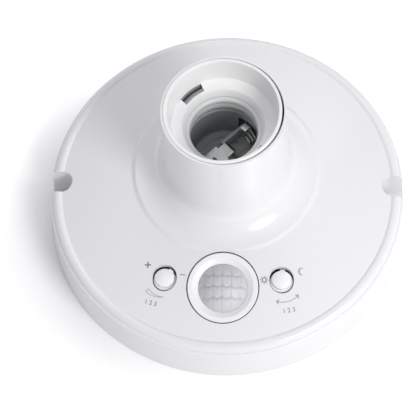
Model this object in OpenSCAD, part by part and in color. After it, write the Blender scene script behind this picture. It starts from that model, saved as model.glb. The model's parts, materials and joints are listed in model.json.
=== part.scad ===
// Motion sensor lamp holder: a round white cover with a flared neck for a screw lamp,
// a motion sensor under a small faceted lens, and two setting knobs.
// Origin: centre of the base on its mounting plane. +Z leaves the wall or ceiling, the sensor is at -Y.

/* [Cover] */
// Radius of the base where it meets the mounting surface
base_r = 70; // [66:0.5:76]
// Height of the skirt round the edge
skirt_h = 17.4; // [15:0.2:20]
// How much smaller the radius is at the top of the skirt
skirt_draft = 2.1; // [1:0.1:3]
// Rounding at the top of the skirt
skirt_round = 0.9; // [0.4:0.1:1.4]
// Wall of the skirt
skirt_wall = 2.4; // [2:0.1:3]
// Wall of the domed face
wall = 2.2; // [1.8:0.1:2.6]
// Radius of the rounded bead that runs round the face
bead_r = 2.4; // [2:0.1:2.8]
// Distance from the skirt's top edge in to the middle of the bead
bead_inset = 3.4; // [3:0.1:4]
// Radius of curvature of the domed face
dome_r = 260; // [220:5:340]

/* [Neck] */
// Distance of the neck behind the middle of the base
neck_y = 4.4; // [0:0.2:8]
// Overall height, to the top of the lamp socket
overall_h = 68.9; // [64:0.5:76]
// Outer radius at the top of the neck
neck_r = 21.8; // [21.6:0.1:24]
// Slope of the neck's wall, in degrees
neck_draft = 2.5; // [1:0.25:3.5]
// Radius of the flare between the neck and its foot
flare_r = 12; // [10:0.5:12.5]
// Radius of the raised foot round the neck
foot_r = 34.4; // [34:0.2:38]
// Height of the foot's edge above the face at its sides
foot_step = 1; // [0.8:0.1:1.6]
// Slope of the foot's upper side, in degrees
foot_slope = 8; // [5:0.5:10]

/* [Lamp socket] */
// Sideways play that has the socket a little off the neck's middle
socket_play = 0.2; // [0:0.05:0.3]
// Outer radius of the socket's rim
rim_r = 20.4; // [20:0.1:20.6]
// Clearance round the socket's rim
rim_gap = 0.6; // [0.5:0.05:0.7]
// Height of the socket's rim above the neck's edge
rim_proud = 0.3; // [0.1:0.1:0.8]
// Depth from the rim to the funnel's shoulder
funnel_depth = 9.2; // [8:0.2:11]
// Radius at the foot of the funnel's steep wall
funnel_r = 18.2; // [17.8:0.1:18.6]
// Radius at the mouth, where the shoulder drops to the thread
mouth_r = 14.7; // [14.3:0.1:15.2]
// Depth from the rim to the thread's first turn
thread_depth = 13.4; // [12.6:0.2:14.5]
// Radius at the bottom of the thread
thread_root_r = 13.4; // [13.1:0.1:13.6]
// Radius at the thread's crest, where a lamp's cap runs
thread_crest_r = 12.2; // [12.1:0.05:12.4]
// Distance from one turn of the thread to the next
thread_pitch = 3.6; // [3.4:0.05:3.8]
// Turns of the thread
thread_turns = 2; // [1:1:3]
// Radius of the smooth chamber under the thread
chamber_r = 12.9; // [12.7:0.1:13]
// Outer radius of the socket's body
socket_r = 15.4; // [15:0.1:15.7]
// Depth from the rim to the socket's floor
socket_depth = 37.9; // [36:0.5:40]
// Thickness of the socket's floor
socket_floor = 3; // [2:0.2:4]

/* [Sensor] */
// Distance of the sensor in front of the middle of the base
sensor_y = 43.5; // [42:0.5:45]
// Radius of the flush ring round the lens
bezel_r = 13; // [12.5:0.1:13.4]
// Gap between the ring and the cover
bezel_gap = 0.3; // [0.2:0.05:0.5]
// Radius of the dish in the ring
dish_r = 11.2; // [10.8:0.1:11.6]
// Radius of the lens where it leaves the dish
lens_r = 8.9; // [8.5:0.1:9.2]
// Height of the lens above the foot of the dish
lens_h = 4.5; // [3.5:0.1:5.5]
// Depth of the dish
dish_depth = 1.5; // [1:0.1:2]

/* [Knobs] */
// Distance of each knob from the middle line
knob_x = 21.4; // [20:0.2:23]
// Distance of the knobs in front of the middle of the base
knob_y = 40.2; // [39:0.2:42]
// Radius of a knob's cap
knob_r = 3.5; // [3.2:0.1:3.6]
// Reach of a knob's pointer from its axis
pointer_r = 4.1; // [3.9:0.1:4.2]
// Half width of a knob's opening
knob_hole_r = 4.45; // [4.35:0.05:4.7]
// Extra length of a knob's opening, front to back
knob_hole_extra = 0.9; // [0:0.1:1.4]
// Height of a knob above the face around it
knob_proud = 0.9; // [0.8:0.1:1.6]
// Direction of the time knob's pointer at rest, in degrees
time_angle = 52; // [0:1:90]
// Direction of the light knob's pointer at rest, in degrees
lux_angle = 86; // [0:1:120]

/* [Fixing] */
// Half width of the notches that let the fixing screws in
notch_r = 4.3; // [4:0.1:4.8]
// Distance from the base's edge in to the round end of each notch
notch_depth = 10.8; // [10:0.2:11.4]
// Thickness of each notch's floor
notch_floor = 2.6; // [2:0.1:3.2]
// Wall round each notch
notch_wall = 1.8; // [1.4:0.1:2]
// Half width of the screw slot in each notch's floor
slot_r = 2.3; // [2:0.1:2.6]
// Length of each screw slot
slot_l = 8.4; // [7.6:0.1:8.8]

/* [Back plate] */
// Thickness of the back plate
plate_t = 2; // [1.6:0.1:2.4]
// How far the back plate sits inside the skirt's lower edge
plate_inset = 0.3; // [0.1:0.1:0.6]
// Radius of the cable entry
cable_r = 5; // [4:0.5:6]
// Distance from the base's edge in to the cable entry
cable_inset = 16; // [15:0.5:17]

/* [Circuit board] */
// Height of the board's underside above the mounting plane
board_z = 6; // [5.5:0.1:6.5]
// Thickness of the board
board_t = 1.6; // [1.2:0.1:2]
// Half width of the board
board_x = 38; // [37:0.5:39]
// Distance from the base's edge in to the board's front edge
board_inset = 13; // [12.6:0.1:13.5]
// Distance from the middle to the board's rear edge
board_back = 20; // [19:0.5:21]
// Radius of an insulated wire
wire_r = 1; // [0.8:0.1:1.2]

/* [Hidden] */
$fn = 96;
far = 100;
gap = 0.3;
fit = 0.05;

// Outline of the cover
skirt_top_r = base_r - skirt_draft;
bead_mid_r = skirt_top_r - bead_inset;
bead_mid_z = skirt_h - 0.2;
dome_edge_r = bead_mid_r - 0.6 * bead_r;
dome_edge_z = bead_mid_z + 0.8 * bead_r;
dome_mid_z = dome_edge_z - sqrt(dome_r * dome_r - dome_edge_r * dome_edge_r);
function dome_z(r) = dome_mid_z + sqrt(dome_r * dome_r - r * r);
dome_hollow_r = bead_mid_r - 0.1;

// Outline of the neck: a drafted wall, a flare and a sloping foot
neck_top = overall_h - rim_proud;
foot_z = dome_z(foot_r) + foot_step;
wall_dir = [cos(neck_draft), sin(neck_draft)];
foot_dir = [sin(foot_slope), cos(foot_slope)];
function cross2(a, b) = a[0] * b[1] - a[1] * b[0];
wall_reach = flare_r + wall_dir * [neck_r, neck_top];
foot_reach = flare_r + foot_dir * [foot_r, foot_z];
flare_mid = [wall_reach * foot_dir[1] - foot_reach * wall_dir[1],
    wall_dir[0] * foot_reach - foot_dir[0] * wall_reach] / cross2(wall_dir, foot_dir);
function neck_wall_r(z, t) = neck_r - t / wall_dir[0] + (neck_top - z) * tan(neck_draft);

// Levels in the lamp socket
socket_x = -socket_play;
shoulder_z = overall_h - funnel_depth;
mouth_z = shoulder_z - 0.57 * (funnel_r - mouth_r);
thread_top = overall_h - thread_depth;
first_turn_z = thread_top - 0.58 * thread_pitch;
thread_end = first_turn_z - (thread_turns + 0.05) * thread_pitch;
floor_z = overall_h - socket_depth;
socket_bottom = floor_z - socket_floor;
ledge_top = thread_top + 0.5;
ledge_t = 2.6;
ledge_r = socket_r + 0.7;
rim_lip = 0.95;
well_r = rim_r + rim_gap;
key_r = 18.4;
key_wall = 1.4;
key_from = 22;
key_to = 74;
key_side = 6;
window_top = floor_z + 11.6;
hook_r = ledge_r + 0.9;
hook_half = 13;
hook_angles = [133.5, 313.5];
hook_slot_half = 15.5;

// The contacts lie along a line that is turned this far from +X
contact_turn = 44;
metal_t = 0.5;
contact_z = floor_z + 7.3;
pad_z = floor_z + 2.5;
pad_x = 3.4;
rib_y = 2.75;
rib_t = 1.2;
leg_x = -10.65;
leg_out = 3;
side_leg_x = 7.3;

// The sensor is square to the domed face
sensor_tilt = asin(sensor_y / dome_r);
sensor_seat = [0, -sensor_y, dome_z(sensor_y) - bezel_r * bezel_r / (2 * dome_r)];
bezel_depth = 5.5;
seat_depth = 3.4;
flange_t = 0.8;
lens_wall = 0.8;
lens_ball_r = (lens_r * lens_r + lens_h * lens_h) / (2 * lens_h);
lens_base = -dish_depth - 0.1;

// Heights over the board
board_top = board_z + board_t;
pot_top = board_top + 6.2;
pot_pocket = 1.8;
pot_half = 3.5;
rotor_r = 2.8;
shaft_r = 1.5;
knob_dist = sqrt(knob_x * knob_x + knob_y * knob_y);
knob_top = dome_z(knob_dist) + knob_proud;
knob_low = pot_top + 0.5;
shaft_top = knob_low + 4.5;
can_r = 4.6;
can_top = sensor_seat[2] - 4;
can_h = 4.4;

// Fixings
notch_reach = base_r - notch_depth;
slot_mid = notch_reach + 5;
cable_y = base_r - cable_inset;
board_front = base_r - board_inset;
plate_top = plate_inset + plate_t;
screw_pad_t = 3.5;
pad_top = plate_inset + screw_pad_t;
screw_head_r = 2.9;
screw_r = 1.2;
head_t = 1.9;
cover_screw_dist = base_r - 8.4;
rear_way = [5 / 7, 50 / 77];
cover_screw_at = cover_screw_dist * [[0, -1], rear_way, [-rear_way[0], rear_way[1]]];
board_screw_at = [for (p = [[board_x - 4.5, board_back + 4.5],
    [board_x - 14, board_front - 4.4]], side = [1, -1]) [side * p[0], -p[1]]];
collar_r = base_r - 21;
collar_t = 1.6;

// Terminal block, on the cover's inside behind the neck
block_size = [26, 11, 10];
block_y = cable_y - 16;
block_z = 8.6;
terminal_x = [-8, 0, 8];

// Sizes of the bought parts on the board
chip_size = [19.2, 6.2, 3.3];
relay_size = [20, 9.8, 11.5];
film_size = [13, 5.6, 10.5];
large_can = [4, 11.5];
small_can = [3.15, 10];
diode_size = [1.25, 4.4];
resistor_size = [1.7, 9];
varistor_size = [4.5, 3.4];

module ring_part(r_in, r_out, z0, z1, from, to) {
    rotate([0, 0, from])
        rotate_extrude(angle = to - from)
            translate([r_in, z0])
                square([r_out - r_in, z1 - z0]);
}

module bar_2d(from, to, t) {
    way = to - from;
    translate(from)
        rotate(atan2(way[1], way[0]))
            translate([0, -t / 2])
                square([norm(way), t]);
}

// A strip of sheet metal seen from its side, with round bends
module strip_2d(points, t) {
    for (i = [1 : len(points) - 1])
        bar_2d(points[i - 1], points[i], t);
    for (i = [1 : len(points) - 2])
        translate(points[i])
            circle(d = t, $fn = 24);
}

// A wire along straight runs, rounded at each bend and cut square at its two ends
module wire(points) {
    last = len(points) - 1;
    difference() {
        for (i = [1 : last])
            hull()
                for (p = [points[i - 1], points[i]])
                    translate(p)
                        sphere(r = wire_r, $fn = 16);
        for (ends = [[0, 1], [last, last - 1]]) {
            way = points[ends[0]] - points[ends[1]];
            translate(points[ends[0]])
                rotate([0, acos(way[2] / norm(way)), atan2(way[1], way[0])])
                    translate([-2 * wire_r, -2 * wire_r, 0])
                        cube(4 * wire_r);
        }
    }
}

module at_neck() {
    translate([0, neck_y, 0])
        children();
}

module at_socket() {
    translate([socket_x, neck_y, 0])
        children();
}

module at_sensor() {
    translate(sensor_seat)
        rotate([sensor_tilt, 0, 0])
            children();
}

// Cover

module cover_outline() {
    polygon([[0, 0], [base_r, 0], [skirt_top_r, skirt_h - skirt_round],
        [skirt_top_r - skirt_round, skirt_h], [0, skirt_h]]);
    translate([skirt_top_r - skirt_round, skirt_h - skirt_round])
        circle(r = skirt_round, $fn = 48);
    translate([bead_mid_r, bead_mid_z])
        circle(r = bead_r);
    intersection() {
        translate([0, dome_mid_z])
            circle(r = dome_r, $fn = 720);
        square([dome_edge_r, far]);
    }
}

module cover_hollow_outline() {
    polygon([[0, -1], [base_r - skirt_wall, -1],
        [skirt_top_r - skirt_wall, skirt_h - wall], [0, skirt_h - wall]]);
    intersection() {
        translate([0, dome_mid_z])
            circle(r = dome_r - wall, $fn = 720);
        square([dome_hollow_r, far]);
    }
}

// The neck's outline, drawn a wall's thickness further in for the hollow
module neck_outline(t, top, low) {
    flare = flare_r + t;
    wall_end = flare_mid - flare * wall_dir;
    foot_end = flare_mid - flare * foot_dir;
    side_r = t == 0 ? foot_r : foot_end[0];
    side_z = t == 0 ? foot_z : foot_end[1];
    difference() {
        polygon([[0, low], [side_r, low], [side_r, side_z], foot_end, flare_mid, wall_end,
            [neck_wall_r(top, t), top], [0, top]]);
        translate(flare_mid)
            circle(r = flare, $fn = 180);
    }
}

// A notch open to the outside, with a round inner end
module notch_shape(r, h) {
    for (side = [0, 180])
        rotate([0, 0, side])
            translate([notch_reach + notch_r, 0, 0]) {
                cylinder(r = r, h = h);
                translate([0, -r, 0])
                    cube([far, 2 * r, h]);
            }
}

module screw_slots() {
    for (side = [-1, 1], end = [-1, 1])
        translate([side * slot_mid + end * (slot_l / 2 - slot_r), 0, -1])
            cylinder(r = slot_r, h = notch_floor + 2, $fn = 48);
    for (side = [-1, 1])
        translate([side * slot_mid - (slot_l / 2 - slot_r), -slot_r, -1])
            cube([slot_l - 2 * slot_r, 2 * slot_r, notch_floor + 2]);
}

module knob_opening() {
    translate([0, -knob_hole_extra / 2, 0])
        cylinder(r = knob_hole_r, h = far, center = true);
    translate([0, knob_hole_extra / 2, 0])
        cylinder(r = knob_hole_r, h = far, center = true);
    cube([2 * knob_hole_r, knob_hole_extra, far], center = true);
}

module cover_posts() {
    for (p = cover_screw_at)
        translate([p[0], p[1], pad_top])
            cylinder(r = 3.2, h = far, $fn = 48);
    for (p = board_screw_at)
        translate([p[0], p[1], board_top])
            cylinder(r = 3, h = far, $fn = 48);
    for (x = [-1, 1])
        translate([x * 4, block_y, block_z + block_size[2]])
            cylinder(r = 2, h = far, $fn = 48);
}

module cover_hollow() {
    difference() {
        union() {
            rotate_extrude($fn = 180)
                cover_hollow_outline();
            at_neck()
                rotate_extrude($fn = 180)
                    neck_outline(wall, ledge_top - ledge_t, board_top);
        }
        cover_posts();
        notch_shape(notch_r + notch_wall, far);
    }
}

module front_cover() {
    color("white")
    difference() {
        union() {
            rotate_extrude($fn = 180)
                cover_outline();
            at_neck()
                rotate_extrude($fn = 180)
                    neck_outline(0, neck_top, skirt_h - wall);
        }
        cover_hollow();
        at_neck() {
            translate([0, 0, ledge_top])
                cylinder(r = well_r, h = far, $fn = 180);
            cylinder(r = ledge_r, h = far);
            ring_part(ledge_r - 1, key_r + gap, ledge_top - ledge_t - 1, ledge_top + 1,
                key_from - 1.5, key_to + 1.5);
        }
        translate([0, 0, notch_floor])
            notch_shape(notch_r, far);
        screw_slots();
        at_sensor()
            cylinder(r = bezel_r + bezel_gap, h = 12, center = true);
        for (side = [-1, 1])
            translate([side * knob_x, -knob_y, board_top + far / 2])
                knob_opening();
        for (p = cover_screw_at)
            translate([p[0], p[1], pad_top - 1])
                cylinder(r = screw_r + fit, h = 10, $fn = 48);
        for (p = board_screw_at)
            translate([p[0], p[1], board_top - 1])
                cylinder(r = screw_r + fit, h = 9, $fn = 48);
    }
}

// Back plate and fixings

module back_plate() {
    color("gainsboro")
    difference() {
        union() {
            translate([0, 0, plate_inset])
                cylinder(r = base_r - skirt_wall - gap - plate_top * skirt_draft / skirt_h,
                    h = plate_t, $fn = 180);
            for (p = cover_screw_at)
                translate([p[0], p[1], plate_inset])
                    cylinder(r = 4.4, h = screw_pad_t, $fn = 48);
            translate([0, cable_y, plate_inset])
                cylinder(r = cable_r + 1.6, h = plate_t + 3);
            translate([0, 0, plate_inset])
                difference() {
                    cylinder(r = collar_r, h = plate_t + 1.2, $fn = 180);
                    translate([0, 0, -1])
                        cylinder(r = collar_r - collar_t, h = far, $fn = 180);
                    translate([-far, -2 * far, -1])
                        cube(2 * far);
                }
        }
        translate([0, 0, -1])
            notch_shape(notch_r + notch_wall + gap, far);
        translate([0, cable_y, -1])
            cylinder(r = cable_r, h = far);
        for (p = cover_screw_at)
            translate([p[0], p[1], 0]) {
                cylinder(r = screw_head_r + 0.2, h = plate_inset + head_t + 0.1, $fn = 48);
                cylinder(r = screw_r + 0.4, h = far, $fn = 48);
            }
    }
}

module screw(length) {
    difference() {
        union() {
            translate([0, 0, -head_t])
                cylinder(r = screw_head_r, h = head_t, $fn = 48);
            cylinder(r = screw_r, h = length, $fn = 48);
        }
        for (turn = [0, 90])
            rotate([0, 0, turn])
                translate([-1.7, -0.3, -head_t - 1])
                    cube([3.4, 0.6, 1.9]);
    }
}

module cover_screws() {
    color("silver")
    for (p = cover_screw_at)
        translate([p[0], p[1], plate_inset + head_t + 0.1])
            screw(9);
}

// Lamp socket and its contacts

module socket_outline() {
    difference() {
        polygon([[0, socket_bottom], [socket_r, socket_bottom], [socket_r, ledge_top],
            [rim_r, ledge_top], [rim_r, overall_h - 0.4], [rim_r - 0.4, overall_h],
            [rim_r - rim_lip + 0.2, overall_h], [rim_r - rim_lip, overall_h - 0.2],
            [funnel_r, shoulder_z], [mouth_r, mouth_z], [thread_root_r, thread_top],
            [thread_root_r, thread_end], [chamber_r, thread_end - 0.4],
            [chamber_r, floor_z], [0, floor_z]]);
    }
    for (turn = [0 : thread_turns - 1])
        intersection() {
            translate([thread_root_r, first_turn_z - turn * thread_pitch])
                circle(r = thread_root_r - thread_crest_r + 0.1, $fn = 48);
            translate([thread_crest_r, 0])
                square([2, far]);
        }
}

module lamp_socket() {
    color("whitesmoke")
    at_socket()
    difference() {
        union() {
            rotate_extrude($fn = 180)
                socket_outline();
            ring_part(socket_r - 1, key_r, socket_bottom, ledge_top, key_from, key_to);
            for (a = hook_angles)
                ring_part(socket_r - 1, hook_r, ledge_top - ledge_t - 2.2,
                    ledge_top - ledge_t - 0.2, a - hook_half, a + hook_half);
            ring_part(9.4, 10.2, floor_z - 1, floor_z + 0.8, 90, 200);
            rotate([0, 0, contact_turn])
                intersection() {
                    union() {
                        translate([pad_x, -5.6, socket_bottom])
                            cube([far, 5.6 + rib_y + 1, pad_z - socket_bottom]);
                        translate([1.5, rib_y, socket_bottom])
                            cube([far, rib_t, floor_z + 7 - socket_bottom]);
                    }
                    cylinder(r = chamber_r + 0.5, h = far);
                }
        }
        for (a = hook_angles)
            ring_part(ledge_r + 0.1, funnel_r - 0.1, ledge_top - 1, overall_h,
                a - hook_slot_half, a + hook_slot_half);
        ring_part(chamber_r - 0.2, key_r - key_wall, pad_z, window_top,
            key_from + key_side, key_to - key_side);
        rotate([0, 0, contact_turn]) {
            translate([leg_x - metal_t / 2 - 0.2, -3.7, 0])
                cube([metal_t + 0.4, 7.6, floor_z + 1]);
            translate([side_leg_x - 0.2, -1.3, 0])
                cube([metal_t + 0.4, 2.6, pad_z + 1]);
        }
    }
}

// The strip that meets the lamp's centre contact, on a leg that goes down through the floor
module centre_contact() {
    tip = [2.1, contact_z];
    bend = [leg_x, contact_z - 1.6];
    wide = 7.2;
    narrow = 5.1;
    color("silver")
    at_socket()
    rotate([0, 0, contact_turn])
    difference() {
        translate([0, 0.1, 0])
            rotate([90, 0, 0])
                linear_extrude(wide, center = true)
                    strip_2d([[leg_x, socket_bottom - leg_out], bend, tip, tip + [1, -0.6]],
                        metal_t);
        for (side = [-1, 1])
            translate([-1.1, -0.15 + side * (narrow + far) / 2 - far / 2, floor_z])
                cube([far, far, far]);
        translate([-5.3, -0.9, contact_z - 3])
            cube([1, 2, 6]);
        for (side = [-1, 1])
            translate([leg_x - 2, side * 4.2 - 2, 0])
                cube([4, 4, socket_bottom]);
    }
}

// A flat plate beside the rib, with curved leaves that the lamp's thread meets
// and an upright that stands in the chamber's window
module side_contact() {
    leaf_r = 12.4;
    back_r = 13.4;
    upright_y = -0.4;
    upright_w = 3.5;
    upright_h = 6.8;
    color("silver")
    at_socket()
    rotate([0, 0, contact_turn])
    difference() {
        union() {
            intersection() {
                translate([pad_x + 0.3, -5.2, pad_z])
                    cube([far, 5.2 + rib_y - 0.15, metal_t]);
                cylinder(r = leaf_r - 0.2, h = far);
            }
            translate([leaf_r - 1, upright_y, pad_z])
                cube([back_r - leaf_r + 1, rib_y - 0.15 - upright_y, metal_t]);
            translate([back_r - metal_t, upright_y, pad_z])
                cube([metal_t, rib_y - 0.15 - upright_y, 4.2]);
            translate([back_r - metal_t, upright_y, pad_z + 4])
                cube([metal_t, upright_w, upright_h - 4]);
            translate([back_r - 2, upright_y, pad_z + upright_h - metal_t])
                cube([2, upright_w, metal_t]);
            ring_part(leaf_r - metal_t, leaf_r, pad_z + 0.2, pad_z + 3.4, -21, 10);
            ring_part(back_r - metal_t - 0.15, back_r - 0.15, pad_z + 1.4, pad_z + 4.1, -15, -1);
            translate([4.2, -3.1, pad_z])
                cube([4.6, 0.5, metal_t + 0.25]);
            translate([side_leg_x, -1, socket_bottom - leg_out])
                cube([metal_t, 2, pad_z - socket_bottom + leg_out + 0.2]);
        }
        translate([10.1, -1.5, pad_z - 1])
            cube([1.1, 1.8, 3]);
    }
}

// Motion sensor, its ring and its lens

module sensor_bezel() {
    clip_r = bezel_r + bezel_gap + 0.7;
    color("white")
    at_sensor() {
        rotate_extrude($fn = 180)
            polygon([[lens_r + 0.15, -seat_depth], [lens_r + 0.15, -dish_depth],
                [dish_r - 0.4, -0.35], [dish_r, -0.1], [bezel_r - 0.3, 0],
                [bezel_r, -0.25], [bezel_r, -bezel_depth], [lens_r + 2.7, -bezel_depth],
                [lens_r + 2.7, -seat_depth]]);
        for (turn = [40, 160, 280])
            ring_part(bezel_r - 0.5, clip_r, -bezel_depth + 0.4, -wall - 0.5,
                turn - 12, turn + 12);
    }
}

module lens_body(r, base_r, drop) {
    intersection() {
        translate([0, 0, lens_base + lens_h - lens_ball_r])
            sphere(r = r, $fn = 128);
        translate([0, 0, lens_base - drop])
            cylinder(r = base_r, h = far, $fn = 128);
    }
    translate([0, 0, -seat_depth - flange_t - drop])
        cylinder(r = base_r, h = seat_depth + flange_t + lens_base + 0.01 + drop, $fn = 128);
}

// A moulded dome with shallow grooves between its lens segments
module sensor_lens() {
    groove = 0.24;
    rows = [-4.7, 0, 4.7];
    columns = [-7.1, -3.55, 0, 3.55, 7.1];
    color("lavender")
    at_sensor()
    difference() {
        union() {
            lens_body(lens_ball_r, lens_r, 0);
            translate([0, 0, -seat_depth - flange_t])
                cylinder(r = lens_r + 2.5, h = flange_t, $fn = 128);
        }
        lens_body(lens_ball_r - lens_wall, lens_r - lens_wall, 1);
        difference() {
            union() {
                for (y = rows)
                    translate([-columns[4], y - groove / 2, lens_base])
                        cube([2 * columns[4], groove, far]);
                for (x = columns)
                    translate([x - groove / 2, -lens_r, lens_base])
                        cube([groove, 2 * lens_r, far]);
            }
            translate([0, 0, lens_base + lens_h - lens_ball_r])
                sphere(r = lens_ball_r - 0.15, $fn = 128);
        }
    }
}

module sensor_stand() {
    color("dimgray")
    translate([0, -sensor_y, board_top])
        difference() {
            cylinder(r = can_r, h = can_top - can_h - board_top - 0.6);
            translate([0, 0, -1])
                cylinder(r = can_r - 1.2, h = far);
        }
}

module motion_sensor() {
    color("silver")
    translate([0, -sensor_y, 0])
        difference() {
            union() {
                translate([0, 0, can_top - can_h])
                    cylinder(r = can_r - 0.4, h = can_h);
                translate([0, 0, can_top - can_h - 0.6])
                    cylinder(r = can_r, h = 0.6);
                for (turn = [45, 165, 285])
                    rotate([0, 0, turn])
                        translate([2.2, 0, board_top])
                            cylinder(r = 0.25, h = can_top - can_h - board_top - 0.5,
                                $fn = 24);
            }
            translate([-2, -1.5, can_top - 0.3])
                cube([4, 3, 1]);
        }
}

module light_sensor() {
    place = sensor_seat + [-5.6, -4, 0];
    top = can_top - 2.2;
    color("burlywood")
    translate([place[0], place[1], 0]) {
        translate([0, 0, top - 2])
            cylinder(r = 2, h = 2, $fn = 48);
        for (x = [-1, 1])
            translate([x, 0, board_top])
                cylinder(r = 0.25, h = top - 1.9 - board_top, $fn = 24);
    }
}

// Setting knobs

module knob_cap(angle) {
    cap_low = knob_top - 6.2;
    cap_ball = 9;
    edge_z = knob_top - cap_ball + sqrt(cap_ball * cap_ball - knob_r * knob_r);
    rotate([0, 0, angle - 90])
        difference() {
            union() {
                rotate_extrude()
                    difference() {
                        polygon([[0, knob_low], [2.5, knob_low], [2.5, cap_low],
                            [knob_r, cap_low], [knob_r, knob_top],
                            [0, knob_top]]);
                        difference() {
                            translate([0, edge_z])
                                square([knob_r + 1, far]);
                            translate([0, knob_top - cap_ball])
                                circle(r = cap_ball, $fn = 180);
                        }
                    }
                intersection() {
                    translate([-0.9, 0, cap_low + 0.1])
                        cube([1.8, pointer_r + 1, knob_top - 1.2 - cap_low]);
                    cylinder(r = pointer_r, h = far);
                }
            }
            translate([0, 0, knob_low - 1])
                cylinder(r = shaft_r + fit, h = shaft_top - knob_low + 1 + fit, $fn = 48);
        }
}

module knob_rotor() {
    pocket_low = pot_top - pot_pocket + fit;
    translate([0, 0, pocket_low])
        cylinder(r = rotor_r, h = pot_pocket + 0.2 - fit);
    translate([0, 0, pocket_low])
        cylinder(r = shaft_r, h = shaft_top - pocket_low, $fn = 48);
}

module knob_pot() {
    difference() {
        translate([-pot_half, -pot_half, board_top])
            cube([2 * pot_half, 2 * pot_half, pot_top - board_top]);
        translate([0, 0, pot_top - pot_pocket])
            cylinder(r = rotor_r + fit, h = far);
    }
}

module time_knob() {
    color("white")
    translate([-knob_x, -knob_y, 0])
        knob_cap(time_angle);
}

module lux_knob() {
    color("white")
    translate([knob_x, -knob_y, 0])
        knob_cap(lux_angle);
}

module time_rotor() {
    color("beige")
    translate([-knob_x, -knob_y, 0])
        knob_rotor();
}

module lux_rotor() {
    color("beige")
    translate([knob_x, -knob_y, 0])
        knob_rotor();
}

module time_pot() {
    color("royalblue")
    translate([-knob_x, -knob_y, 0])
        knob_pot();
}

module lux_pot() {
    color("royalblue")
    translate([knob_x, -knob_y, 0])
        knob_pot();
}

// Circuit board and what it carries

module circuit_board() {
    color("seagreen")
    difference() {
        translate([0, 0, board_z])
            intersection() {
                cylinder(r = base_r - 6.5, h = board_t, $fn = 180);
                translate([-board_x, -board_front, 0])
                    cube([2 * board_x, board_front - board_back, board_t]);
            }
        for (p = board_screw_at)
            translate([p[0], p[1], 0])
                cylinder(r = screw_r + 0.2, h = far, $fn = 48);
    }
}

module board_screws() {
    color("silver")
    for (p = board_screw_at)
        translate([p[0], p[1], board_z])
            screw(8);
}

// A place on the board, by its distance in front of the board's rear edge
module on_board(x, ahead) {
    translate([x, -board_back - ahead, board_top])
        children();
}

module control_chip() {
    pin_x = [-7.62, -5.08, -2.54, 0, 2.54, 5.08, 7.62];
    color("dimgray")
    on_board(1.6, board_front - board_back - 4.4) {
        translate([-chip_size[0] / 2, -chip_size[1] / 2, 0.5])
            cube(chip_size);
        for (x = pin_x, side = [-1, 1])
            translate([x - 0.25, side * (chip_size[1] / 2 + 0.3) - 0.4, 0])
                cube([0.5, 0.8, 2.2]);
    }
}

module relay() {
    color("steelblue")
    on_board(-17, 7.8)
        translate([-relay_size[0] / 2, -relay_size[1] / 2, 0])
            cube(relay_size);
}

module film_capacitor() {
    color("gold")
    on_board(6.5, 6)
        translate([-film_size[0] / 2, -film_size[1] / 2, 0])
            cube(film_size);
}

module electrolytic_capacitors() {
    color("midnightblue") {
        on_board(20, 6.6)
            cylinder(r = large_can[0], h = large_can[1]);
        on_board(27.6, 12.4)
            cylinder(r = small_can[0], h = small_can[1]);
    }
}

module rectifier_diodes() {
    color("dimgray")
    for (x = [4.5, 8, 11.5, 15])
        on_board(x, 13.6)
            translate([0, 0, diode_size[0]])
                rotate([90, 0, 0])
                    cylinder(r = diode_size[0], h = diode_size[1], center = true, $fn = 48);
}

module fusible_resistor() {
    color("lightsteelblue")
    on_board(31, 22)
        translate([0, 0, resistor_size[0]])
            rotate([90, 0, 0])
                cylinder(r = resistor_size[0], h = resistor_size[1], center = true, $fn = 48);
}

module varistor() {
    color("darkorange")
    on_board(-31, 14)
        translate([0, 0, varistor_size[0]])
            rotate([0, 90, 0])
                cylinder(r = varistor_size[0], h = varistor_size[1], center = true);
}

// Terminals and wires

module terminal_block() {
    color("whitesmoke")
    difference() {
        translate([-block_size[0] / 2, block_y - block_size[1] / 2, block_z])
            cube(block_size);
        for (x = terminal_x) {
            translate([x, block_y, block_z - 1])
                cylinder(r = 2.4, h = 5.2, $fn = 48);
            translate([x, block_y, block_z + 5.6])
                rotate([90, 0, 0])
                    cylinder(r = 1.5, h = far, center = true, $fn = 48);
        }
    }
}

module terminal_screws() {
    color("silver")
    for (x = terminal_x)
        translate([x, block_y, block_z + 0.9])
            difference() {
                cylinder(r = 2.1, h = 3.3, $fn = 48);
                translate([-3, -0.35, -1])
                    cube([6, 0.7, 1.8]);
            }
}

block_front = block_y - block_size[1] / 2;
wire_z = block_z + 5.6;
run_z = board_top + 3.4;
rise_z = board_top + 2.4;
wire_pad_y = -board_back - 2;

// Each wire starts in its terminal and goes straight out of the block first
function from_terminal(n) = [[terminal_x[n], block_y - 2.5, wire_z],
    [terminal_x[n], block_front - 2.5, wire_z]];

module live_wire() {
    color("saddlebrown")
    wire(concat(from_terminal(0), [[-30, 12, run_z], [-32, wire_pad_y + 8, run_z],
        [-29.2, wire_pad_y, rise_z], [-29.2, wire_pad_y, board_top]]));
}

module neutral_wire() {
    color("cornflowerblue")
    wire(concat(from_terminal(1), [[30, 13, run_z], [32, wire_pad_y + 7, run_z],
        [29, wire_pad_y, rise_z], [29, wire_pad_y, board_top]]));
}

// The ends of the lamp's wires meet the legs of the two contacts
function leg_foot(along) = [socket_x + along * cos(contact_turn),
    neck_y + along * sin(contact_turn), socket_bottom - leg_out];

module lamp_live_wire() {
    foot = leg_foot(leg_x);
    color("red")
    wire([[-16, wire_pad_y + 0.5, board_top], [-16, wire_pad_y + 0.5, run_z + 1],
        [-13, wire_pad_y + 8, run_z + 6], foot - [0, 0, 4], foot]);
}

module lamp_neutral_wire() {
    foot = leg_foot(side_leg_x + metal_t / 2);
    color("dimgray")
    wire(concat(from_terminal(2), [[terminal_x[2], block_front - 7, run_z + 7],
        foot - [0, 0, 4], foot]));
}

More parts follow.
